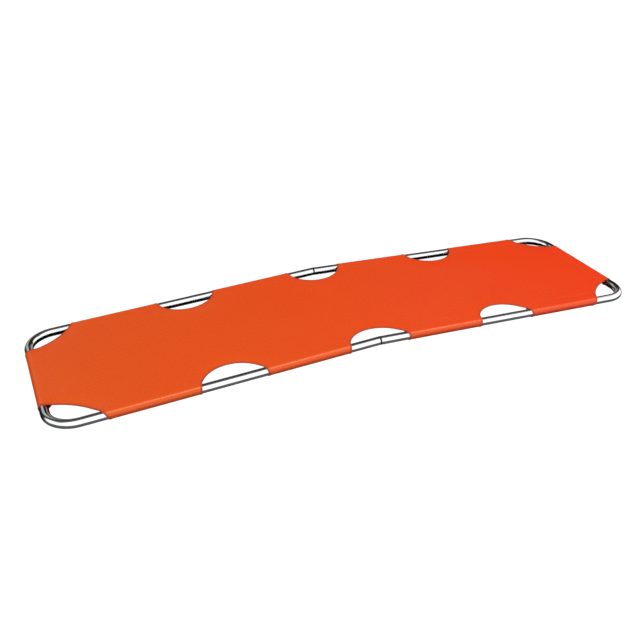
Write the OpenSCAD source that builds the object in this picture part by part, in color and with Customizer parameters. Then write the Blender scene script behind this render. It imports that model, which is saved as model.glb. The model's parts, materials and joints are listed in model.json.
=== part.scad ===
// Folding stretcher: two U-shaped tube halves, joined mid-rail by hinges hidden in the tubes,
// under a cover of coated cloth that is sewn into sleeves round the rails and the end bars.
// Millimetres. +X points to the foot end, +Y to the left rail, +Z up. The origin is on the
// floor, half way between the two hinges. Each foot-end part is drawn in place, and the
// head-end part is its mirror image.

/* [Frame] */
// Length along the frame, outside of one end bar to outside of the other
frame_l = 1850; // [1750:10:1950]
// Width over the two side rails
frame_w = 500; // [460:5:540]
// Outside diameter of the tube
tube_d = 25; // [25:0.5:27]
// Wall thickness of the tube
tube_wall = 2; // [1.5:0.1:2]
// Centre-line radius of the corner bends
bend_r = 75; // [65:1:90]
// Slope of each half, down from the middle, in degrees
camber = 2.63; // [1:0.01:4]

/* [Hinge] */
// Distance between the two pins of a hinge link
link_span = 24; // [24:0.5:26]
// Depth of the pins below the rail's centre line
pin_drop = 7; // [6.5:0.1:7.2]
// Diameter of a hinge pin
pin_d = 5; // [4.5:0.1:5]
// Width of a link across the rail
link_w = 7; // [6:0.5:7]
// Height of a link
link_h = 9; // [8.5:0.1:9]
// Length of the plug inside each rail
plug_l = 55; // [52:1:80]
// Thickness of the plug's collar between the two tube ends
collar_t = 2.8; // [1:0.1:3]

/* [Cover] */
// Thickness of the coated cloth
cloth_t = 1; // [0.8:0.1:1.2]
// Distance from a tube's centre line to the seam that closes its sleeve
seam_in = 30; // [28:1:50]
// Radius of the curve cut for a hand-hold
handhold_r = 93; // [84:1:96]
// Reach of a hand-hold inward from the rail's centre line
handhold_in = 65; // [60:0.5:74]
// Distance from the hinge line to the middle of an outer hand-hold
handhold_u = 432; // [420:1:440]
// Distance from the hinge line to where a corner is cut away from the rail
corner_u = 782; // [765:1:795]
// Distance from the middle of an end bar to where a corner is cut away from it
corner_y = 141; // [125:1:150]
// Radius of the curve cut at a corner
corner_r = 210; // [170:1:240]
// Width of the binding sewn along the cut edges
binding_w = 4; // [3:0.5:5]

/* [Hidden] */
$fn = 72;
FOOT = 1;
HEAD = -1;
LEFT = 1;
RIGHT = -1;

// Frame
tube_r = tube_d / 2;
bore_r = tube_r - tube_wall;
rail_y = frame_w / 2 - tube_r;
bar_u = frame_l / 2 - tube_r;
straight_bar = rail_y - bend_r;

// Cover: the cloth lies on the tubes with a hair of room
cloth_gap = 0.1;
sleeve_r = tube_r + cloth_gap;
sleeve_out_r = sleeve_r + cloth_t;
seam_gap = 0.05;
flap_bite = 5;
hem_h = 0.5;
handhold_y = rail_y - handhold_in + handhold_r;
handhold_half = sqrt(handhold_r * handhold_r - pow(handhold_r - handhold_in, 2));

// Height of the rails' centre lines at the hinge, with the end bars' sleeves on the floor
hinge_z = bar_u * sin(camber) + sleeve_out_r;

// Hinge
pin_x = link_span / 2;
pin_z = hinge_z - pin_drop;
pin_u = pin_x * cos(camber) + pin_drop * sin(camber);
pin_w = pin_x * sin(camber) - pin_drop * cos(camber);
fit = 0.05;
butt_gap = 0.05;
plug_r = bore_r - fit;
pin_l = 20.4;
pin_chamfer = 0.4;
washer_t = 0.5;
washer_d = link_h - 0.4;
slot_w = link_w + 2 * washer_t + 0.4;
link_room = link_h / 2 + 0.2;
nose_r = pin_x - 0.1;
rivet_us = [30, 45];
rivet_d = 4;
rivet_head_d = 8;
rivet_head_h = 1.1;
rivet_depth = 7;
over = 3;

// ---------- placing ----------

// A half's own frame: u along the rail from the hinge line, w up from the rail's centre line
module tilted() {
    translate([0, 0, hinge_z]) rotate([0, camber, 0]) children();
}

// Head-end parts are the mirror image of the foot-end ones
module at_end(end) {
    mirror([end == HEAD ? 1 : 0, 0, 0]) children();
}

// What lies on the foot side of x = from
module beyond(from) {
    intersection() {
        children();
        translate([from, -frame_w, -frame_l]) cube([frame_l, 2 * frame_w, 2 * frame_l]);
    }
}

module across(d, h) {
    rotate([90, 0, 0]) cylinder(d = d, h = h, center = true);
}

module along(d, from, to) {
    translate([from, 0, 0]) rotate([0, 90, 0]) cylinder(d = d, h = to - from);
}

// ---------- frame ----------

// A solid bar of diameter d along the U of one half, in the half's frame
module u_bar(d, from) {
    for (side = [LEFT, RIGHT]) {
        translate([0, side * rail_y, 0]) along(d, from, bar_u - bend_r);
        translate([bar_u - bend_r, side * straight_bar, 0])
            rotate([0, 0, side == LEFT ? 0 : -90])
            rotate_extrude(angle = 90) translate([bend_r, 0]) circle(d = d);
    }
    translate([bar_u, 0, 0]) across(d, 2 * straight_bar);
}

// Room that a plug and its rail leave for the link, which drops out through the underside
module link_slot(top) {
    translate([-over, -slot_w / 2, -tube_d])
        cube([over + pin_u + link_room, slot_w, tube_d + top]);
}

// What the rail end loses below its pin, so that the two ends clear as they fold
module nose_relief() {
    difference() {
        translate([0, -tube_d / 2, pin_z - tube_d]) cube([pin_x, tube_d, tube_d]);
        translate([pin_x, 0, pin_z]) across(2 * nose_r, tube_d + 1);
    }
}

// The holes that a plug and its rail share, in world coordinates
module hinge_holes() {
    translate([pin_x, 0, pin_z]) across(pin_d + 2 * fit, 2 * tube_d);
    tilted() for (u = rivet_us)
        translate([u, 0, -tube_d]) cylinder(d = rivet_d + 2 * fit, h = tube_d - tube_r + rivet_depth);
}

module frame_tube(end) {
    at_end(end) difference() {
        beyond(collar_t + butt_gap) tilted() difference() {
            u_bar(tube_d, -over);
            u_bar(2 * bore_r, -2 * over);
        }
        for (side = [LEFT, RIGHT]) translate([0, side * rail_y, 0]) {
            tilted() link_slot(pin_w);
            nose_relief();
            hinge_holes();
        }
    }
}

// ---------- hinge ----------

module plug(end, side) {
    at_end(end) translate([0, side * rail_y, 0]) difference() {
        union() {
            beyond(butt_gap) tilted() along(2 * plug_r, -over, plug_l);
            difference() {
                beyond(butt_gap) tilted() along(tube_d, -over, 2 * over);
                translate([collar_t, -tube_d, 0]) cube([frame_l, 2 * tube_d, 2 * hinge_z]);
            }
        }
        tilted() link_slot(pin_w + link_room);
        nose_relief();
        hinge_holes();
    }
}

module pin(end, side) {
    at_end(end) translate([pin_x, side * rail_y, pin_z]) rotate([90, 0, 0]) {
        cylinder(d = pin_d, h = pin_l - 2 * pin_chamfer, center = true);
        for (flip = [0, 1]) mirror([0, 0, flip]) translate([0, 0, pin_l / 2 - pin_chamfer])
            cylinder(d1 = pin_d, d2 = pin_d - 2 * pin_chamfer, h = pin_chamfer);
    }
}

module rivets(end, side) {
    at_end(end) translate([0, side * rail_y, 0]) tilted() for (u = rivet_us)
        translate([u, 0, -tube_r]) {
            cylinder(d = rivet_d, h = rivet_depth - 1);
            translate([0, 0, -rivet_head_h]) intersection() {
                cylinder(d1 = rivet_head_d - 2, d2 = rivet_head_d + 1, h = rivet_head_h);
                cylinder(d = rivet_head_d, h = rivet_head_h);
            }
        }
}

module link(side) {
    translate([0, side * rail_y, pin_z]) difference() {
        union() {
            cube([link_span, link_w, link_h], center = true);
            for (end = [HEAD, FOOT]) translate([end * pin_x, 0, 0]) across(link_h, link_w);
        }
        for (end = [HEAD, FOOT]) translate([end * pin_x, 0, 0]) across(pin_d + 2 * fit, 2 * link_w);
    }
}

module washers(side) {
    for (end = [HEAD, FOOT], face = [-1, 1])
        translate([end * pin_x, side * rail_y + face * (link_w + washer_t + fit) / 2, pin_z])
            difference() {
                across(washer_d, washer_t);
                across(pin_d + 2 * fit, 2 * washer_t);
            }
}

// ---------- cover ----------

function mid(a, b) = (a + b) / 2;
// Centre of the circle of radius r through a and b, on the side away from the cloth
function arc_centre(a, b, r) =
    let (half_chord = norm(b - a) / 2, out = [a[1] - b[1], b[0] - a[0]] / norm(b - a))
    mid(a, b) + out * sqrt(r * r - half_chord * half_chord);

corner_at = arc_centre([corner_u, rail_y], [bar_u, corner_y], corner_r);

// Every curve cut from one half of the cloth, as [u, y, radius]; the middle hand-holds
// sit on the hinge line and are shared by both halves
handhold_cuts = [for (side = [LEFT, RIGHT], u = [0, handhold_u]) [u, side * handhold_y, handhold_r]];
corner_cuts = [for (side = [LEFT, RIGHT]) [corner_at[0], side * corner_at[1], corner_r]];

module cut_circles(cuts, wider) {
    for (c = cuts) translate([c[0], c[1]]) circle(r = c[2] + wider, $fn = 144);
}

// The flat area between the tubes' top lines, which the cover spans
module cover_area() {
    translate([-over, -rail_y + seam_gap])
        square([over + bar_u - seam_gap, 2 * (rail_y - seam_gap)]);
}

module cloth_sheet(thickness) {
    beyond(butt_gap) tilted() translate([0, 0, sleeve_r]) linear_extrude(thickness) children();
}

module cover_panel(end) {
    at_end(end) cloth_sheet(cloth_t) difference() {
        cover_area();
        cut_circles(concat(handhold_cuts, corner_cuts), binding_w);
    }
}

module bindings(end, cuts) {
    at_end(end) cloth_sheet(cloth_t + hem_h) intersection() {
        cover_area();
        difference() {
            cut_circles(cuts, binding_w - seam_gap);
            cut_circles(cuts, 0);
        }
    }
}

// A circle and the flap that leaves it for a seam on the underside of the cloth, inboard (-x).
// The flap's line runs a little inside the circle's tangent, so that the two cross cleanly
module teardrop(r, reach) {
    slant = atan2(r, -reach) + acos(r / norm([r, reach])) + flap_bite;
    circle(r = r);
    polygon([[0, 0], [0, r], [-reach, r], r * [cos(slant), sin(slant)]]);
}

module sleeve_section() {
    difference() {
        teardrop(sleeve_out_r, seam_in * sleeve_out_r / sleeve_r);
        teardrop(sleeve_r, seam_in);
        translate([-frame_w, sleeve_r - cloth_gap]) square([frame_w, tube_d]);
    }
}

module rail_sleeves(end, side) {
    spans = [[handhold_half, handhold_u - handhold_half], [handhold_u + handhold_half, corner_u]];
    at_end(end) tilted() mirror([0, side == RIGHT ? 1 : 0, 0]) for (span = spans)
        translate([span[0], rail_y, 0]) rotate([90, 0, 90])
            linear_extrude(span[1] - span[0]) sleeve_section();
}

module end_sleeve(end) {
    at_end(end) tilted() translate([bar_u, 0, 0]) rotate([90, 0, 0])
        linear_extrude(2 * corner_y, center = true) sleeve_section();
}

// ---------- sub-parts ----------

module head_frame_tube() { color("silver") frame_tube(HEAD); }
module foot_frame_tube() { color("silver") frame_tube(FOOT); }
module head_plug_left() { color("dimgray") plug(HEAD, LEFT); }
module head_plug_right() { color("dimgray") plug(HEAD, RIGHT); }
module foot_plug_left() { color("dimgray") plug(FOOT, LEFT); }
module foot_plug_right() { color("dimgray") plug(FOOT, RIGHT); }
module head_pin_left() { color("lightgray") pin(HEAD, LEFT); }
module head_pin_right() { color("lightgray") pin(HEAD, RIGHT); }
module foot_pin_left() { color("lightgray") pin(FOOT, LEFT); }
module foot_pin_right() { color("lightgray") pin(FOOT, RIGHT); }
module head_rivets_left() { color("gainsboro") rivets(HEAD, LEFT); }
module head_rivets_right() { color("gainsboro") rivets(HEAD, RIGHT); }
module foot_rivets_left() { color("gainsboro") rivets(FOOT, LEFT); }
module foot_rivets_right() { color("gainsboro") rivets(FOOT, RIGHT); }
module hinge_link_left() { color("gray") link(LEFT); }
module hinge_link_right() { color("gray") link(RIGHT); }
module link_washers_left() { color("white") washers(LEFT); }
module link_washers_right() { color("white") washers(RIGHT); }
module cover_panel_head() { color("orangered") cover_panel(HEAD); }
module cover_panel_foot() { color("orangered") cover_panel(FOOT); }
module end_sleeve_head() { color("orangered") end_sleeve(HEAD); }
module end_sleeve_foot() { color("orangered") end_sleeve(FOOT); }
module left_sleeves_head() { color("orangered") rail_sleeves(HEAD, LEFT); }
module left_sleeves_foot() { color("orangered") rail_sleeves(FOOT, LEFT); }
module right_sleeves_head() { color("orangered") rail_sleeves(HEAD, RIGHT); }
module right_sleeves_foot() { color("orangered") rail_sleeves(FOOT, RIGHT); }
module handhold_bindings_head() { color("chocolate") bindings(HEAD, handhold_cuts); }
module handhold_bindings_foot() { color("chocolate") bindings(FOOT, handhold_cuts); }
module corner_bindings_head() { color("chocolate") bindings(HEAD, corner_cuts); }
module corner_bindings_foot() { color("chocolate") bindings(FOOT, corner_cuts); }

head_frame_tube();
foot_frame_tube();
head_plug_left();
head_plug_right();
foot_plug_left();
foot_plug_right();
head_pin_left();
head_pin_right();
foot_pin_left();
foot_pin_right();
head_rivets_left();
head_rivets_right();
foot_rivets_left();
foot_rivets_right();
hinge_link_left();
hinge_link_right();
link_washers_left();
link_washers_right();
cover_panel_head();
cover_panel_foot();
end_sleeve_head();
end_sleeve_foot();
left_sleeves_head();
left_sleeves_foot();
right_sleeves_head();
right_sleeves_foot();
handhold_bindings_head();
handhold_bindings_foot();
corner_bindings_head();
corner_bindings_foot();
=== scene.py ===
"""Looks for the folding stretcher: the sewn cloth cover, its bindings and stitching, and every material.

The cover is one sheet in pattern coordinates: u runs along the stretcher from the hinge line, v across
it. Its flat panel is simulated as taut cloth pinned along the tubes. Its edges then wrap round the
tubes as sleeves, whose flaps come back to a seam under the panel. Lengths are metres.
"""
import json
import math

import bmesh
import bpy
import numpy as np
from mathutils import Matrix, Vector
from mathutils.bvhtree import BVHTree
from mathutils.geometry import barycentric_transform, delaunay_2d_cdt


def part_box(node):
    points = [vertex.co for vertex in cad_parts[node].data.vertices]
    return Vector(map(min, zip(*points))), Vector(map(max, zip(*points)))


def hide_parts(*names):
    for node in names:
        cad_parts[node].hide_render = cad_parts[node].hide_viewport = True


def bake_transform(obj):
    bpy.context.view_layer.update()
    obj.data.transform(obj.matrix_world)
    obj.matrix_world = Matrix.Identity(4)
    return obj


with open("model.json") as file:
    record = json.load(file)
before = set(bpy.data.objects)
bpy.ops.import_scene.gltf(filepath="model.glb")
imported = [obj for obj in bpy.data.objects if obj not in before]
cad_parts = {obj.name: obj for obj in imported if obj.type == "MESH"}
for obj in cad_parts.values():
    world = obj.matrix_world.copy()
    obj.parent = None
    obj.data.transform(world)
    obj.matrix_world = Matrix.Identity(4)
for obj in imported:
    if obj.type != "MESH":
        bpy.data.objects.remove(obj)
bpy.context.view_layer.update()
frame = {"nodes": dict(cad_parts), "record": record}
NODES = frame["nodes"]
SCENE = bpy.context.scene
ENDS = {"head": -1, "foot": 1}

# ---------- dimensions, from the frame ----------

plug_low, plug_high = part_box("foot_plug_left")
tube_low, tube_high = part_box("foot_frame_tube")
pin_low, pin_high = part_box("foot_pin_left")
PIN_DROP = 0.007      # how far the pins lie below the rail's centre line
TUBE_R = (plug_high.y - plug_low.y) / 2  # a plug's collar is as wide as its tube
RAIL_Y = (plug_high.y + plug_low.y) / 2
HINGE_Z = (pin_low.z + pin_high.z) / 2 + PIN_DROP  # the rail's centre line at the hinge line
bar_x = tube_high.x - TUBE_R
bar_fall = HINGE_Z - TUBE_R - tube_low.z
CAMBER = math.atan2(bar_fall, bar_x)  # how much each half slopes
BAR_U = math.hypot(bar_x, bar_fall)   # the end bars' centre line
TINY = 1e-6           # a length that counts as none
MERGE = 1e-7          # points closer than this are one, when the panel is triangulated

# The cover's cuts, as the CAD has them
SLEEVE_ROOM = 0.0001  # between a tube and its sleeve
SLEEVE_R = TUBE_R + SLEEVE_ROOM
CLOTH_T = 0.0009
SEAM_IN = 0.030       # from a tube's centre line in to its sleeve's seam
HANDHOLD_R = 0.093
HANDHOLD_IN = 0.065   # from the rail's centre line in to a hand-hold's deepest point
HANDHOLD_U = 0.432    # middle of an outer hand-hold
CORNER_U = 0.782      # where a corner cut meets the rail
CORNER_Y = 0.141      # where it meets the end bar
CORNER_R = 0.210
HANDHOLD_Y = RAIL_Y - HANDHOLD_IN + HANDHOLD_R
HANDHOLD_HALF = math.sqrt(HANDHOLD_R ** 2 - (HANDHOLD_Y - RAIL_Y) ** 2)

# Cloth
GRID = 0.010          # spacing of the panel's inner points
EDGE_STEP = 0.005     # spacing along the panel's outline
EDGE_ROOM = 0.6 * GRID  # least distance from the outline to an inner point
ARC_ROWS = 24         # rows of a sleeve round its tube
FLAP_ROWS = 5
HEM_ROWS = 2
HEM = 0.008           # width of the flap's margin past its seam
UNDER_PANEL = 0.0001  # room between a flap and the panel it is sewn to
KINK_SOFT = 0.012     # how softly the sheet passes over the hinge line
EDGE_DROOP = 0.0035   # how far a free cut edge hangs below the taut panel
DROOP_REACH = 0.030

# Binding tape and stitches
BIND_W = 0.005
BIND_T = 0.0005
TAPE_BITE = 0.0001    # how far the tape's edges sink into the cloth
TAPE_CORE = 0.0002    # from the cloth's cut edge in to the tape's inner fold
TAPE_IN_SLEEVE = 0.0003  # the tape's underside in a sleeve: inside the cloth, so clear of the tube
TAPE_UV = 0.001       # pattern distance between two points of the tape's section
TAPE_STITCH_AT = 0.62  # where the tape's stitches run, as a share of its width
STITCH_PITCH = 0.0042
STITCH_L = 0.0028
STITCH_R = 0.00036
STITCH_SIDES = 6
SEAM_ROWS = (0.002, 0.007)  # a seam's two rows of stitches, in from the seam
SEAM_PAST = 0.004     # how far a rail seam's rows run past the sleeve's ends, if there is cloth
END_SEAM_PAST = 0.03  # the same for an end bar's
SEAM_POINTS = 48

# Cloth simulation
SIM_FRAMES = 40
SIM_SETTINGS = {
    "quality": 8,
    "mass": 0.02,
    "tension_stiffness": 60,
    "compression_stiffness": 20,
    "shear_stiffness": 20,
    "bending_stiffness": 0.8,
    "tension_damping": 20,
    "compression_damping": 20,
    "shear_damping": 20,
    "air_damping": 6,
    "pin_stiffness": 50,
    "shrink_min": 0.004,
}
SIM_GRAVITY = 0.3     # share of gravity that the taut cloth feels
MOST_IN_PLANE = 0.0015  # a settled point moves no farther than this sideways
MOST_DROP = 0.014     # nor than this up or down


def corner_centre():
    """Centre of the curve that cuts a corner, outside the cloth."""
    a, b = Vector((CORNER_U, RAIL_Y)), Vector((BAR_U, CORNER_Y))
    chord = b - a
    out = Vector((-chord.y, chord.x)).normalized()
    return (a + b) / 2 + out * math.sqrt(CORNER_R ** 2 - (chord.length / 2) ** 2)


CORNER_AT = corner_centre()
CUT_CIRCLES = [
    ((HANDHOLD_U, HANDHOLD_Y), HANDHOLD_R),
    ((0, HANDHOLD_Y), HANDHOLD_R),
    (tuple(CORNER_AT), CORNER_R),
]


# ---------- the sheet in pattern coordinates ----------

def to_object(u, v, w):
    """Where a pattern point lies in the object's frame, w above the rail's centre line."""
    root = math.sqrt(u * u + KINK_SOFT ** 2)
    x = u * math.cos(CAMBER) + w * math.sin(CAMBER) * u / root
    z = HINGE_Z - root * math.sin(CAMBER) + w * math.cos(CAMBER)
    return Vector((x, v, z))


def arc(centre, radius, start, end):
    """Points along the shorter arc about centre, both ends included, an odd number of them."""
    a = math.atan2(start[1] - centre[1], start[0] - centre[0])
    b = math.atan2(end[1] - centre[1], end[0] - centre[0])
    sweep = (b - a + math.pi) % (2 * math.pi) - math.pi
    n = 2 * round(abs(sweep) * radius / EDGE_STEP / 2)
    turns = [a + sweep * i / n for i in range(n + 1)]
    points = [(centre[0] + radius * math.cos(turn), centre[1] + radius * math.sin(turn)) for turn in turns]
    points[0], points[-1] = tuple(start), tuple(end)
    return points


def line(start, end):
    """Evenly spaced points from start to end, both included."""
    n = max(2, round(math.dist(start, end) / EDGE_STEP))
    start, end = np.array(start), np.array(end)
    return [tuple(start + (end - start) * i / n) for i in range(n + 1)]


def outline():
    """The panel's outline, anticlockwise, as (kind, points, cut) runs that take turns.

    A sleeve's run is its fold line. A cut's run is an arc, and its cut is the arc's (centre, radius).
    """
    runs = []

    def fold(start, end):
        runs.append(("sleeve", line(start, end), None))

    def cut(centre, radius, start, end):
        runs.append(("cut", arc(centre, radius, start, end), (centre, radius)))

    for side in (1, -1):

        def at(u, v):
            """The left side is walked from foot to head, and the right side from head to foot."""
            return (side * u, side * v)

        fold(at(BAR_U, -CORNER_Y), at(BAR_U, CORNER_Y))
        cut(at(*CORNER_AT), CORNER_R, at(BAR_U, CORNER_Y), at(CORNER_U, RAIL_Y))
        previous = CORNER_U
        for middle in (HANDHOLD_U, 0, -HANDHOLD_U):
            first, last = middle + HANDHOLD_HALF, middle - HANDHOLD_HALF
            fold(at(previous, RAIL_Y), at(first, RAIL_Y))
            cut(at(middle, HANDHOLD_Y), HANDHOLD_R, at(first, RAIL_Y), at(last, RAIL_Y))
            previous = last
        fold(at(previous, RAIL_Y), at(-CORNER_U, RAIL_Y))
        cut(at(-CORNER_AT[0], CORNER_AT[1]), CORNER_R, at(-CORNER_U, RAIL_Y), at(-BAR_U, CORNER_Y))
    return runs


RUNS = outline()


def inside_distance(points):
    """How far each point lies inside the panel, negative outside."""
    p = np.abs(points)
    inner = np.minimum(BAR_U - p[:, 0], RAIL_Y - p[:, 1])
    for centre, radius in CUT_CIRCLES:
        inner = np.minimum(inner, np.hypot(p[:, 0] - centre[0], p[:, 1] - centre[1]) - radius)
    return inner


def droop(u, v):
    """How far a panel point hangs because a free cut edge is near: most at the edge, none at the sleeves."""
    p = abs(u), abs(v)
    gaps = [math.dist(p, centre) - radius for centre, radius in CUT_CIRCLES]
    near = math.exp(-(max(0.0, min(gaps)) / DROOP_REACH) ** 2)
    held = min(1.0, min(RAIL_Y - p[1], BAR_U - p[0]) / DROOP_REACH)
    return EDGE_DROOP * near * held * held * (3 - 2 * held)


def panel_mesh():
    """(pattern points, triangles, runs as vertex indices) of the flat panel, with edges all along u = 0."""
    points, runs = [], []
    for kind, run, cut in RUNS:
        first = len(points)
        points += run[:-1]
        runs.append([kind, list(range(first, len(points) + 1)), cut])
    border = len(points)
    runs[-1][1][-1] = 0
    columns = range(-int(BAR_U / GRID), int(BAR_U / GRID) + 1)
    rows = range(-int(RAIL_Y / GRID) - 1, int(RAIL_Y / GRID) + 2)
    grid = np.array([(c * GRID, (r + (c % 2) / 2) * GRID) for c in columns for r in rows])
    points += [tuple(p) for p in grid[inside_distance(grid) > EDGE_ROOM]]
    spine = sorted((i for i, p in enumerate(points) if abs(p[0]) < TINY), key=lambda i: points[i][1])
    edges = list(zip(spine, spine[1:]))
    found = delaunay_2d_cdt([Vector(p) for p in points], edges, [list(range(border))], 1, MERGE, True)
    new_index = {old: new for new, olds in enumerate(found[3]) for old in olds}
    for run in runs:
        run[1] = [new_index[i] for i in run[1]]
    flat = [tuple(p) for p in found[0]]
    middles = np.array([np.mean([flat[i] for i in f], axis=0) for f in found[2]])
    triangles = [tuple(f) for f, depth in zip(found[2], inside_distance(middles)) if depth > 0]
    return flat, triangles, runs


# ---------- the taut panel ----------

def taut(points, triangles, pinned):
    """The panel as cloth stretched between its sleeves: where each point settles, in the object's frame."""
    rest = [to_object(u, v, SLEEVE_R) for u, v in points]
    mesh = bpy.data.meshes.new("taut_cloth")
    mesh.from_pydata(rest, [], triangles)
    cloth = bpy.data.objects.new("taut_cloth", mesh)
    SCENE.collection.objects.link(cloth)
    group = cloth.vertex_groups.new(name="pinned")
    group.add(sorted(pinned), 1.0, "REPLACE")
    modifier = cloth.modifiers.new("cloth", "CLOTH")
    for name, value in SIM_SETTINGS.items():
        setattr(modifier.settings, name, value)
    modifier.settings.vertex_group_mass = "pinned"
    modifier.settings.effector_weights.gravity = SIM_GRAVITY
    modifier.collision_settings.use_collision = False
    modifier.collision_settings.use_self_collision = False
    modifier.point_cache.frame_start = 1
    modifier.point_cache.frame_end = SIM_FRAMES
    for step in range(1, SIM_FRAMES + 1):
        SCENE.frame_set(step)
    settled = cloth.evaluated_get(bpy.context.evaluated_depsgraph_get()).data
    moved = [p + cap(v.co - p) for p, v in zip(rest, settled.vertices)]
    SCENE.frame_set(1)
    bpy.data.objects.remove(cloth)
    return moved


def cap(move):
    """Limits a settled point's move, so that the cut edges stay where the pattern has them."""
    flat = Vector((move.x, move.y, 0))
    if flat.length > MOST_IN_PLANE:
        flat *= MOST_IN_PLANE / flat.length
    return Vector((flat.x, flat.y, max(-MOST_DROP, min(MOST_DROP, move.z))))


class Sheet:
    """The whole cover as one surface: the inside of the cloth, with its pattern coordinates."""

    def __init__(self):
        self.pattern, self.faces, runs = panel_mesh()
        pinned = {i for kind, run, _ in runs if kind == "sleeve" for i in run}
        settled = taut(self.pattern, self.faces, pinned)
        self.points = [p - Vector((0, 0, droop(*q))) for p, q in zip(settled, self.pattern)]
        self.panel_faces = list(self.faces)
        self.panel_count = len(self.points)
        self.flat = [Vector((u, v, 0)) for u, v in self.pattern]
        self.tree = BVHTree.FromPolygons(self.flat, self.panel_faces)
        self.chains = [run for kind, run, _ in runs if kind == "cut"]
        for i, (kind, run, _) in enumerate(runs):
            if kind == "sleeve":
                before, after = runs[i - 1], runs[(i + 1) % len(runs)]
                first, last = self.wrap(run, before[2], after[2])
                before[1][:] = before[1] + first
                after[1][:0] = last[::-1]
        self.normals = self.vertex_normals()

    def panel_at(self, u, v):
        """The settled panel's underside at a pattern point, in the object's frame."""
        _, _, index, _ = self.tree.ray_cast(Vector((u, v, 1)), Vector((0, 0, -1)))
        if index is None:
            _, _, index, _ = self.tree.find_nearest(Vector((u, v, 0)))
        a, b, c = self.panel_faces[index]
        f, p = self.flat, self.points
        return barycentric_transform(Vector((u, v, 0)), f[a], f[b], f[c], p[a], p[b], p[c])

    def wrap(self, run, cut_before, cut_after):
        """Wraps a margin round its tube from the fold line run. Returns its two end columns, top down."""
        start, end = self.pattern[run[0]], self.pattern[run[-1]]
        out_axis = 0 if abs(start[0] - end[0]) < TINY else 1
        along_axis = 1 - out_axis
        out = math.copysign(1, start[out_axis])
        base = RAIL_Y if out_axis else BAR_U
        start, end = start[along_axis], end[along_axis]

        def place(along, outboard):
            """The pattern point along the tube and outboard of the cover's middle."""
            return (along, out * outboard) if out_axis else (out * outboard, along)

        def end_at(cut, corner, wrapped):
            """Where along the tube a sleeve that has wrapped so far ends: the cut's circle goes on."""
            centre, radius = cut
            beyond = max(abs(centre[out_axis]) - base - wrapped, 0)
            side = math.copysign(1, corner - centre[along_axis])
            return centre[along_axis] + side * math.sqrt(radius ** 2 - beyond ** 2)

        rows = [run]
        for row in range(1, ARC_ROWS + FLAP_ROWS + HEM_ROWS + 1):
            made = []
            for i in range(len(run)):
                t = i / (len(run) - 1)
                drop = self.drop_at(*place(start + (end - start) * t, base - SEAM_IN))
                wrapped, outboard, up = section(row, SLEEVE_R - drop)
                low, high = end_at(cut_before, start, wrapped), end_at(cut_after, end, wrapped)
                along = low + (high - low) * t
                made.append(len(self.points))
                self.points.append(to_object(*place(along, base + outboard), up))
                self.pattern.append(place(along, base + wrapped))
            rows.append(made)
        for upper, lower in zip(rows, rows[1:]):
            for i in range(len(run) - 1):
                self.faces.append((upper[i + 1], upper[i], lower[i], lower[i + 1]))
        return [r[0] for r in rows[1:]], [r[-1] for r in rows[1:]]

    def drop_at(self, u, v):
        """How far the panel lies below its unsagged level at a pattern point."""
        return max(0.0, to_object(u, v, SLEEVE_R).z - self.panel_at(u, v).z)

    def vertex_normals(self):
        mesh = bpy.data.meshes.new("sheet_normals")
        mesh.from_pydata(self.points, [], self.faces)
        mesh.update()
        normals = [v.normal.copy() for v in mesh.vertices]
        bpy.data.meshes.remove(mesh)
        return normals


def section(row, seam_up):
    """(distance wrapped, distance outboard, height) of a sleeve's row, in the section across its tube.

    The arc rows go round the tube, the flap rows straight on to the seam, and the hem rows past it.
    """
    reach = math.hypot(SEAM_IN, seam_up)
    slant = math.atan2(seam_up, -SEAM_IN) + math.acos(SLEEVE_R / reach)
    turned = math.pi / 2 + 2 * math.pi - slant
    if row <= ARC_ROWS:
        angle = turned * row / ARC_ROWS
        return SLEEVE_R * angle, SLEEVE_R * math.sin(angle), SLEEVE_R * math.cos(angle)
    flap = math.sqrt(reach ** 2 - SLEEVE_R ** 2)
    t = min(1, (row - ARC_ROWS) / FLAP_ROWS)
    outboard = SLEEVE_R * math.sin(turned) * (1 - t) - SEAM_IN * t
    up = SLEEVE_R * math.cos(turned) * (1 - t) + seam_up * t
    hem = HEM * max(0, row - ARC_ROWS - FLAP_ROWS) / HEM_ROWS
    return SLEEVE_R * turned + flap * t + hem, outboard - hem, up - UNDER_PANEL


# ---------- meshes ----------

def add_mesh(name, points, faces, material, uvs=None):
    """A smooth-shaded piece. uvs holds each point's place in the cloth's pattern."""
    mesh = bpy.data.meshes.new(name)
    mesh.from_pydata([tuple(p) for p in points], [], faces)
    mesh.update()
    mesh.shade_smooth()
    mesh.materials.append(material)
    if uvs:
        layer = mesh.uv_layers.new(name="pattern")
        for loop in mesh.loops:
            layer.data[loop.index].uv = uvs[loop.vertex_index]
    piece = bpy.data.objects.new(name, mesh)
    SCENE.collection.objects.link(piece)
    return piece


def sharpen(mesh, pairs):
    """Marks the edges between these pairs of vertices as sharp."""
    wanted = {frozenset(p) for p in pairs}
    for edge in mesh.edges:
        if frozenset(edge.vertices) in wanted:
            edge.use_edge_sharp = True


def side_of(sheet, vertices):
    return "foot" if sum(sheet.pattern[i][0] for i in vertices) > 0 else "head"


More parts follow.
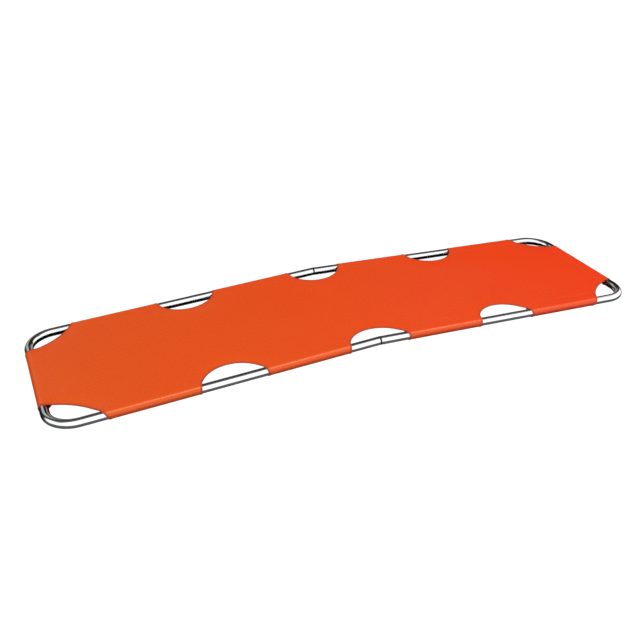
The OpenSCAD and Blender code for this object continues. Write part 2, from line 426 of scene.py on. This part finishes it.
def thick_half(sheet, end, material):
    """One half of the cover as a closed skin: the sheet, its outer copy and the wall round its edge."""
    faces = [f for f in sheet.faces if side_of(sheet, f) == end]
    used = sorted({i for f in faces for i in f})
    inner = {old: new for new, old in enumerate(used)}
    count = len(used)
    points = [sheet.points[i] for i in used]
    points += [sheet.points[i] + sheet.normals[i] * CLOTH_T for i in used]
    skin = [tuple(inner[i] + count for i in f) for f in faces]
    skin += [tuple(inner[i] for i in reversed(f)) for f in faces]
    ways = [(inner[a], inner[b]) for f in faces for a, b in zip(f, f[1:] + f[:1])]
    both_ways = set(ways)
    rim = [(a, b) for a, b in ways if (b, a) not in both_ways]
    skin += [(a, b, b + count, a + count) for a, b in rim]
    piece = add_mesh("cover_" + end, points, skin, material, [sheet.pattern[i] for i in used] * 2)
    sharpen(piece.data, [p for a, b in rim for p in ((a, b), (a + count, b + count))])
    return piece


def edge_frames(sheet, chain):
    """Each vertex of a cut edge, with its point, normal, way into the cloth and distance along the edge."""
    points = [sheet.points[i] for i in chain]
    frames, along = {}, 0.0
    for k, i in enumerate(chain):
        before, after = points[max(k - 1, 0)], points[min(k + 1, len(chain) - 1)]
        along += (points[k] - before).length
        inward = sheet.normals[i].cross((after - before).normalized()).normalized()
        frames[i] = points[k], sheet.normals[i], inward, along
    return frames


def part_on(sheet, chain, end):
    """The stretch of a cut edge's chain on one half, divided at the hinge line. It may be empty."""
    us = [sheet.pattern[i][0] for i in chain]
    parts = [chain]
    if min(us) < -TINY and max(us) > TINY:
        at = min(range(len(us)), key=lambda k: abs(us[k]))
        parts = [chain[:at + 1], chain[at:]]
    return next((part for part in parts if side_of(sheet, part) == end), [])


def tube_faces(first, rings, sides):
    """The faces of a capped tube whose rings of vertices start at first."""
    faces = []
    for ring in range(rings - 1):
        for k in range(sides):
            a, b = first + ring * sides + k, first + ring * sides + (k + 1) % sides
            faces.append((a, b, b + sides, a + sides))
    last = first + (rings - 1) * sides
    faces.append(tuple(first + k for k in reversed(range(sides))))
    faces.append(tuple(last + k for k in range(sides)))
    return faces


def tape_profile(under):
    """The folded tape's section as (inward, above the cloth's inner face) points, round the cloth's edge."""
    top, over = CLOTH_T, CLOTH_T + BIND_T
    outer = [(BIND_W, top - TAPE_BITE), (BIND_W, over - TAPE_BITE), (BIND_W * 0.9, over),
             (BIND_W * 0.3, over)]
    fold = [(0, over), (-BIND_T * 0.7, over - BIND_T * 0.4), (-BIND_T, (top + under) / 2),
            (-BIND_T * 0.7, under + BIND_T * 0.3), (0, under)]
    inner = [(BIND_W * 0.5, under), (BIND_W, under + TAPE_BITE), (BIND_W, TAPE_BITE)]
    return outer + fold + inner + [(TAPE_CORE, TAPE_BITE), (TAPE_CORE, top - TAPE_BITE)]


def binding_tapes(sheet, end, material):
    """The tapes folded over one half's cut edges, as one piece."""
    points, faces, uvs = [], [], []
    for chain in sheet.chains:
        frames = edge_frames(sheet, chain)
        part = part_on(sheet, chain, end)
        first = len(points)
        for i in part:
            point, normal, inward, along = frames[i]
            profile = tape_profile(-BIND_T if i < sheet.panel_count else TAPE_IN_SLEEVE)
            points += [point + inward * a + normal * b for a, b in profile]
            uvs += [(along, k * TAPE_UV) for k in range(len(profile))]
        if part:
            faces += tube_faces(first, len(part), len(profile))
    piece = add_mesh("bindings_" + end, points, faces, material, uvs)
    fix_normals(piece.data)
    piece.data.set_sharp_from_angle(angle=math.radians(50))
    return piece


def fix_normals(mesh):
    """Turns every face of a closed mesh outward."""
    work = bmesh.new()
    work.from_mesh(mesh)
    bmesh.ops.recalc_face_normals(work, faces=work.faces)
    work.to_mesh(mesh)
    work.free()


def stitch_shape():
    """A stitch as (along, across, up) rings: a thread that rises out of the cloth and dives back in."""
    # along in stitch lengths, radius and lift in thread radii
    rise = [(-0.5, 0.35, -0.6), (-0.4, 0.8, 0.1), (-0.2, 1, 0.5)]
    rings = rise + [(-along, radius, lift) for along, radius, lift in reversed(rise)]
    angles = [2 * math.pi * k / STITCH_SIDES for k in range(STITCH_SIDES)]
    return [[(along * STITCH_L, math.cos(a) * radius * STITCH_R, (math.sin(a) * radius + lift) * STITCH_R)
             for a in angles] for along, radius, lift in rings]


STITCH = stitch_shape()


def add_stitch(points, faces, at, along, normal):
    across = normal.cross(along).normalized()
    faces += tube_faces(len(points), len(STITCH), STITCH_SIDES)
    for ring in STITCH:
        points += [at + along * a + across * b + normal * c for a, b, c in ring]


def sew(points, faces, path, normals):
    """Stitches at an even pitch along a path."""
    travelled, due = 0.0, STITCH_PITCH / 2
    for a, b, n, m in zip(path, path[1:], normals, normals[1:]):
        step = (b - a).length
        while step > 0 and due <= travelled + step:
            t = (due - travelled) / step
            add_stitch(points, faces, a.lerp(b, t), (b - a).normalized(), n.lerp(m, t).normalized())
            due += STITCH_PITCH
        travelled += step


def seam_lines(end):
    """The double rows sewn through the panel and each sleeve's flap, as lists of pattern points."""
    sign = ENDS[end]
    rows = []
    spans = [(HANDHOLD_HALF, HANDHOLD_U - HANDHOLD_HALF), (HANDHOLD_U + HANDHOLD_HALF, CORNER_U)]
    for row in SEAM_ROWS:
        inset = SEAM_IN + row
        for side in (1, -1):
            for low, high in spans:
                steps = np.linspace(low - SEAM_PAST, high + SEAM_PAST, SEAM_POINTS)
                rows.append([(sign * u, side * (RAIL_Y - inset)) for u in steps])
        steps = np.linspace(-CORNER_Y - END_SEAM_PAST, CORNER_Y + END_SEAM_PAST, SEAM_POINTS)
        rows.append([(sign * (BAR_U - inset), v) for v in steps])
    kept = []
    for row in rows:
        inside = inside_distance(np.array(row)) > BIND_W + SEAM_ROWS[0]
        kept.append([point for point, ok in zip(row, inside) if ok])
    return kept


def stitching(sheet, end, material):
    """Every stitch of one half: along the bindings, and above and below along the sleeves' seams."""
    points, faces = [], []
    for chain in sheet.chains:
        frames = edge_frames(sheet, chain)
        path, normals = [], []
        for i in part_on(sheet, chain, end):
            point, normal, inward, _ = frames[i]
            path.append(point + inward * BIND_W * TAPE_STITCH_AT + normal * (CLOTH_T + BIND_T))
            normals.append(normal)
        sew(points, faces, path, normals)
    up = Vector((0, 0, 1))
    for row in seam_lines(end):
        path = [sheet.panel_at(u, v) for u, v in row]
        sew(points, faces, [p + up * CLOTH_T for p in path], [up] * len(path))
        sew(points, faces, [p - up * (CLOTH_T + UNDER_PANEL) for p in path], [-up] * len(path))
    return add_mesh("stitching_" + end, points, faces, material)


# ---------- materials ----------

def rgb(red, green, blue):
    """A colour given as it looks on a screen, 0 to 255, in the linear values that shaders take."""
    def linear(c):
        c /= 255
        return c / 12.92 if c <= 0.04045 else ((c + 0.055) / 1.055) ** 2.4
    return (linear(red), linear(green), linear(blue), 1)


def grey(value):
    return (value, value, value, 1)


class Tree:
    """A node tree, with short ways to add the nodes that materials and surroundings share."""

    def __init__(self, tree):
        self.nodes = tree.nodes
        self.links = tree.links

    def feed(self, value, socket):
        """Gives a socket a plain value, or links another node's output to it."""
        if isinstance(value, bpy.types.NodeSocket):
            self.links.new(value, socket)
        else:
            socket.default_value = value

    def add(self, kind, **values):
        """A new node. Each value goes to the input of that name, or else to the node's own setting."""
        node = self.nodes.new(kind)
        for key, value in values.items():
            if key in node.inputs:
                self.feed(value, node.inputs[key])
            else:
                setattr(node, key, value)
        return node

    def apply(self, kind, operation, values):
        """A node that works on its values in order."""
        node = self.add(kind, operation=operation)
        for value, socket in zip(values, node.inputs):
            self.feed(value, socket)
        return node.outputs

    def math(self, operation, *values):
        return self.apply("ShaderNodeMath", operation, values)["Value"]

    def vector(self, operation, *values):
        outputs = self.apply("ShaderNodeVectorMath", operation, values)
        return outputs["Value" if operation == "DOT_PRODUCT" else "Vector"]

    def ramp(self, value, start, end, low=0.0, high=1.0, shape="LINEAR"):
        """Maps a value from start to end onto low to high, and holds it there beyond."""
        node = self.add("ShaderNodeMapRange", interpolation_type=shape)
        inputs = {"Value": value, "From Min": start, "From Max": end, "To Min": low, "To Max": high}
        for name, number in inputs.items():
            self.feed(number, node.inputs[name])
        return node.outputs["Result"]

    def mix(self, factor, low, high, blend="MIX"):
        """Colour low where the factor is 0 to colour high where it is 1."""
        node = self.add("ShaderNodeMix", data_type="RGBA", blend_type=blend)
        factor_at, low_at, high_at, result_at = 0, 6, 7, 2  # a mix node's sockets for colours
        for value, at in ((factor, factor_at), (low, low_at), (high, high_at)):
            self.feed(value, node.inputs[at])
        return node.outputs[result_at]


class Shader(Tree):
    """A material's node tree."""

    def __init__(self, name):
        self.material = bpy.data.materials.new(name)
        self.material.use_nodes = True
        super().__init__(self.material.node_tree)
        self.surface = self.nodes["Principled BSDF"].inputs

    def set(self, **values):
        """Sets or links the surface's inputs. An underscore stands for a space."""
        for key, value in values.items():
            self.feed(value, self.surface[key.replace("_", " ")])

    def place(self, scale=(1, 1, 1), uv=False):
        """Texture coordinates in metres, times scale: the cloth's pattern if uv, or else the object's."""
        coordinates = self.add("ShaderNodeTexCoord").outputs["UV" if uv else "Object"]
        return self.add("ShaderNodeMapping", Vector=coordinates, Scale=scale).outputs["Vector"]

    def noise(self, at, scale, detail=3.0, roughness=0.5):
        node = self.add("ShaderNodeTexNoise", Vector=at, Scale=scale, Detail=detail, Roughness=roughness)
        return node.outputs["Fac"]

    def spread(self, noise, low, high):
        """Maps a noise's usual values onto low to high."""
        return self.ramp(noise, 0.3, 0.7, low, high)

    def colours(self, noise, low, high):
        return self.mix(self.spread(noise, 0, 1), low, high)

    def edge_on(self, start, end, low=0.0, high=1.0):
        """Maps how far the surface is seen edge on, from 0 to 1, from start to end onto low to high."""
        facing = self.add("ShaderNodeLayerWeight", Blend=0.5)
        return self.ramp(facing.outputs["Facing"], start, end, low, high)

    def weave(self, uv, pitch):
        """A plain weave's height, 0 to 1, with threads pitch apart."""
        split = self.add("ShaderNodeSeparateXYZ", Vector=uv).outputs
        waves = [self.math("SINE", self.math("MULTIPLY", split[k], 2 * math.pi / pitch)) for k in (0, 1)]
        return self.math("MULTIPLY_ADD", self.math("MULTIPLY", *waves), 0.5, 0.5)

    def bump(self, height, strength, distance):
        """Adds a relief to any that the surface has."""
        node = self.add("ShaderNodeBump", Height=height, Strength=strength, Distance=distance)
        normal = self.surface["Normal"]
        if normal.is_linked:
            self.feed(normal.links[0].from_socket, node.inputs["Normal"])
        self.feed(node.outputs["Normal"], normal)


CLOTH_HEAD = rgb(234, 87, 27)
CLOTH_FOOT = rgb(235, 65, 31)
CLOTH_BLOTCH = 0.06         # how far stains shift the colour between those two
CLOTH_EDGE_SHADE = (0.75, 1.0)    # painted shade: the cloth's colour darkens between these shares of edge on
# how dark the painted edge-on shade gets, as a share of the cloth's colour
CLOTH_DEEPEST_EDGE_SHADE = 0.35
CLOTH_DULL = (0.44, 0.60)   # and its sheen fades out between these
CLOTH_SHEEN = 0.5
SHEEN_TINT = (0.85, 1.0, 0.62, 1)
CLOTH_WEAVE = 0.0011        # distance between threads
TAPE_WEAVE = 0.0009


def cloth_material():
    """Coated cloth: a fine weave under a satin coat, redder at the foot end, painted shade and duller edge
    on.
    """
    shader = Shader("coated_cloth")
    uv = shader.place(uv=True)
    along = shader.ramp(shader.add("ShaderNodeSeparateXYZ", Vector=uv).outputs["X"], -BAR_U, BAR_U)
    blotch = shader.spread(shader.noise(uv, 6.0, detail=2.0), -CLOTH_BLOTCH, CLOTH_BLOTCH)
    # The colour turns from orange at the head end to redder at the foot end, with blotches.
    head_to_foot_colour = shader.mix(shader.math("ADD", along, blotch), CLOTH_HEAD, CLOTH_FOOT)
    # Painted shade: the base colour is darkened where the cloth is seen edge on.
    shader.set(Base_Color=shader.mix(shader.edge_on(*CLOTH_EDGE_SHADE), head_to_foot_colour, grey(CLOTH_DEEPEST_EDGE_SHADE), "MULTIPLY"),
               Roughness=shader.spread(shader.noise(uv, 140.0, detail=4.0), 0.24, 0.31),
               Specular_IOR_Level=shader.edge_on(*CLOTH_DULL, CLOTH_SHEEN, 0.0),
               Specular_Tint=SHEEN_TINT)
    shader.bump(shader.weave(uv, CLOTH_WEAVE), strength=0.25, distance=0.00006)
    shader.bump(shader.noise(uv, 30.0, detail=2.0), strength=0.05, distance=0.0006)
    return shader.material


def tape_material():
    shader = Shader("binding_tape")
    uv = shader.place(uv=True)
    shader.set(Base_Color=shader.colours(shader.noise(uv, 60.0), rgb(178, 58, 22), rgb(200, 68, 26)),
               Roughness=shader.spread(shader.noise(uv, 400.0), 0.55, 0.7))
    shader.bump(shader.weave(uv, TAPE_WEAVE), strength=0.5, distance=0.0001)
    return shader.material


def thread_material():
    shader = Shader("sewing_thread")
    at = shader.place()
    shader.set(Base_Color=shader.colours(shader.noise(at, 900.0), rgb(222, 70, 20), rgb(238, 84, 28)),
               Roughness=0.6, Sheen_Weight=0.2)
    shader.bump(shader.noise(at, 2600.0), strength=0.4, distance=0.0001)
    return shader.material


def metal_material(name, low, high, roughness, scratch=0.1, grain=(40, 900, 900)):
    """Bare metal: fine lines along X, faint stains in the colour, and a roughness that wanders."""
    shader = Shader(name)
    lines = shader.noise(shader.place(scale=grain), 1.0, detail=4.0, roughness=0.6)
    shader.set(Base_Color=shader.colours(shader.noise(shader.place(), 30.0), low, high),
               Roughness=shader.spread(lines, roughness * 0.8, roughness * 1.35), Metallic=1.0)
    shader.bump(lines, scratch, distance=0.00002)
    return shader.material


def plastic_material(name, low, high, roughness):
    """Moulded plastic: a fine grain, and a colour and a roughness that wander a little."""
    shader = Shader(name)
    at = shader.place()
    shader.set(Base_Color=shader.colours(shader.noise(at, 220.0), low, high),
               Roughness=shader.spread(shader.noise(at, 900.0), roughness * 0.9, roughness * 1.15))
    shader.bump(shader.noise(at, 1800.0), strength=0.2, distance=0.00005)
    return shader.material


CLOTH = cloth_material()
TAPE = tape_material()
THREAD = thread_material()
# The finishes of the CAD's own nodes, by the record's material slot
FINISHES = {
    "frame_tube": metal_material("polished_aluminium", rgb(226, 228, 230), rgb(236, 237, 238), 0.13, 0.02),
    "hinge_steel": metal_material("zinc_plated_steel", rgb(150, 152, 156), rgb(172, 174, 176), 0.3),
    "rivet": metal_material("rivet_aluminium", rgb(190, 192, 194), rgb(206, 208, 210), 0.32),
    "hinge_plug": plastic_material("dark_nylon", rgb(26, 26, 28), rgb(40, 40, 42), 0.5),
    "washer": plastic_material("natural_nylon", rgb(214, 210, 198), rgb(228, 226, 216), 0.42),
}
for part in frame["record"]["subparts"]:
    finish = FINISHES.get(part["material_slot"])
    if finish:
        materials = NODES[part["node"]].data.materials
        materials.clear()
        materials.append(finish)

# ---------- the sewn cover ----------

SEWN = bpy.data.collections.new("sewn")
sheet = Sheet()
for end in ENDS:
    sleeves = ["left_sleeves_" + end, "right_sleeves_" + end, "end_sleeve_" + end]
    cover = thick_half(sheet, end, CLOTH)
    tapes = binding_tapes(sheet, end, TAPE)
    stitches = stitching(sheet, end, THREAD)
    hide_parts("cover_panel_" + end, *sleeves)
    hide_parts("handhold_bindings_" + end, "corner_bindings_" + end)
    for piece in (cover, tapes, stitches):
        SEWN.objects.link(piece)
        if end == "head":
            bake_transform(piece)
        else:
            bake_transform(piece)

# ---------- floor, light and camera ----------

# The floor is below the reach of a half that hangs folded, so that it cuts nothing off
FLOOR_Z = HINGE_Z - BAR_U - 0.1
FLOOR_SIZE = 40.0
FLOOR_GLOW = 0.9


def upward(rise, yaw):
    """The direction at a rise above the horizon, yaw to the head end of straight in front."""
    rise, yaw = math.radians(rise), math.radians(yaw)
    return (-math.sin(yaw) * math.cos(rise), -math.cos(yaw) * math.cos(rise), math.sin(rise))


# What shiny parts mirror. An edge holds the cosines from a thing's own direction between which it fades in
BEHIND = (0, 1, 0)
BELOW = (0, 0, -1)
VAULT_AT = upward(34, 0)
VAULT_EDGE = (0.62, 0.74)
VAULT_WHITE = 1.35
END_AT = (0.935, 0.05, 0.352)  # the wall beyond the foot end. The other is its mirror image
END_EDGE = (0.86, 0.94)
ROOM_DARK = 0.12
ROOM_EDGE = (0.30, 0.60)
ROOM_BROWN = (0.020, 0.013, 0.010, 1)
BACK_WALL_EDGE = (0.86, 0.93)
BACK_WALL_GREY = 0.30
ROOM_THINGS = [((-0.30, 0.81, 0.50), (0.945, 0.985), (0.46, 0.57, 0.56, 1)),
               ((0.53, 0.83, 0.17), (0.965, 0.985), (0.30, 0.26, 0.25, 1))]

# What lights the cloth
SKY_AT = upward(44, 32)
SKY_EDGE = (-0.30, 0.62)
SKY_DARK = 0.04
SKY_WHITE = 0.73
GROUND_EDGE = (0.55, 0.95)
GROUND_WHITE = 0.22
STRIP_SIZE = (4.2, 0.45)
STRIP_AT = (0.6, -0.80, 2.6)
STRIP_POWER = 54
STRIP_COLOUR = (0.95, 1.0, 0.82)

# What the camera sees round the object
BACKDROP = 1.0

CAMERA_AT = Vector((-0.9588, -1.9544, 1.1942))  # from the rails' centre line at the hinge line
CAMERA_YAW, CAMERA_PITCH, CAMERA_ROLL = math.radians(24.25), math.radians(29.96), math.radians(0.70)
CAMERA_LENS = 45.59
CAMERA_SENSOR = 36

SCENE.view_settings.view_transform = "Standard"


def flat_card(name, x, y, z, shader):
    """A level rectangle that isn't part of the object, x and y from its middle to its edges."""
    card = add_mesh(name, [(-x, -y, z), (x, -y, z), (x, y, z), (-x, y, z)], [(0, 1, 2, 3)], shader.material)
    return card


def stage_floor():
    """A pale floor that neither lights the object nor shows in its metal."""
    shader = Shader("pale_floor")
    shader.set(Base_Color=shader.colours(shader.noise(shader.place(), 3.0), grey(0.36), grey(0.40)),
               Roughness=0.9, Specular_IOR_Level=0.0, Emission_Color=grey(1), Emission_Strength=FLOOR_GLOW)
    floor = flat_card("floor", FLOOR_SIZE, FLOOR_SIZE, FLOOR_Z, shader)
    floor.visible_glossy = floor.visible_diffuse = False


def shade_card():
    """A dark card under the frame that only reflections see: the shade that a stretcher stands over."""
    shader = Shader("shade")
    shader.set(Base_Color=(0.004, 0.004, 0.004, 1), Roughness=1.0, Specular_IOR_Level=0.0)
    card = flat_card("shade_card", BAR_U * 0.97, RAIL_Y - TUBE_R, 0, shader)
    card.visible_camera = card.visible_diffuse = card.visible_shadow = card.visible_transmission = False


class World(Tree):
    """The studio's surroundings: a brightness and a colour for each direction."""

    def __init__(self):
        world = bpy.data.worlds.new("studio")
        world.use_nodes = True
        SCENE.world = world
        super().__init__(world.node_tree)
        self.nodes.clear()
        self.ray = self.add("ShaderNodeLightPath").outputs
        self.toward = self.add("ShaderNodeTexCoord").outputs["Generated"]

    def near(self, axis, edge, toward=None):
        """0 far from an axis to 1 near it; edge holds the cosines between which it changes."""
        cosine = self.vector("DOT_PRODUCT", toward or self.toward, axis)
        return self.ramp(cosine, *edge, shape="SMOOTHSTEP")

    def finish(self, colour):
        background = self.add("ShaderNodeBackground", Color=colour)
        self.add("ShaderNodeOutputWorld", Surface=background.outputs[0])


def studio_world():
    """A white backdrop to look at, and other surroundings for reflections and for light.

    Shiny parts see a white vault along the near side, a white wall beyond each end and a dark room
    behind, with a grey wall and two pale things in it. Cloth is lit from above and from the near side.
    """
    world = World()
    along_vault = world.vector("NORMALIZE", world.vector("MULTIPLY", world.toward, (0, 1, 1)))
    white = world.near(VAULT_AT, VAULT_EDGE, along_vault)
    for side in ENDS.values():
        white = world.math("MAXIMUM", white, world.near((side * END_AT[0], *END_AT[1:]), END_EDGE))
    behind = world.mix(world.near(BEHIND, BACK_WALL_EDGE), ROOM_BROWN, grey(BACK_WALL_GREY))
    for at, edge, colour in ROOM_THINGS:
        behind = world.mix(world.near(at, edge), behind, colour)
    room = world.mix(world.near(BEHIND, ROOM_EDGE), grey(ROOM_DARK), behind)
    mirrored = world.mix(white, room, grey(VAULT_WHITE))
    sky = world.mix(world.near(SKY_AT, SKY_EDGE), grey(SKY_DARK), grey(SKY_WHITE))
    falling = world.mix(world.near(BELOW, GROUND_EDGE), sky, grey(GROUND_WHITE))
    light = world.mix(world.ray["Is Glossy Ray"], falling, mirrored)
    world.finish(world.mix(world.ray["Is Camera Ray"], light, grey(BACKDROP)))


def strip_light():
    """A long soft light over the near rail, for the sewn pieces only: the bright line along the sleeves."""
    data = bpy.data.lights.new("strip", "AREA")
    data.shape = "RECTANGLE"
    data.size, data.size_y = STRIP_SIZE
    data.energy = STRIP_POWER
    data.color = STRIP_COLOUR
    light = bpy.data.objects.new("strip", data)
    SCENE.collection.objects.link(light)
    light.location = STRIP_AT
    light.light_linking.receiver_collection = SEWN


def camera():
    """The viewpoint: in front of the right rail and above it, toward the head end, looking down."""
    ahead = Vector((math.sin(CAMERA_YAW), math.cos(CAMERA_YAW), 0))
    right = Vector((math.cos(CAMERA_YAW), -math.sin(CAMERA_YAW), 0))
    forward = ahead * math.cos(CAMERA_PITCH) - Vector((0, 0, math.sin(CAMERA_PITCH)))
    up = right.cross(forward)
    x = right * math.cos(CAMERA_ROLL) + up * math.sin(CAMERA_ROLL)
    y = up * math.cos(CAMERA_ROLL) - right * math.sin(CAMERA_ROLL)
    data = bpy.data.cameras.new("camera")
    data.sensor_width = CAMERA_SENSOR
    data.lens = CAMERA_LENS
    data.clip_start, data.clip_end = 0.05, 100
    view = bpy.data.objects.new("camera", data)
    SCENE.collection.objects.link(view)
    turn = Matrix((x, y, -forward)).transposed().to_4x4()
    view.matrix_world = Matrix.Translation(CAMERA_AT + Vector((0, 0, HINGE_Z))) @ turn
    SCENE.camera = view


stage_floor()
studio_world()
shade_card()
strip_light()
camera()
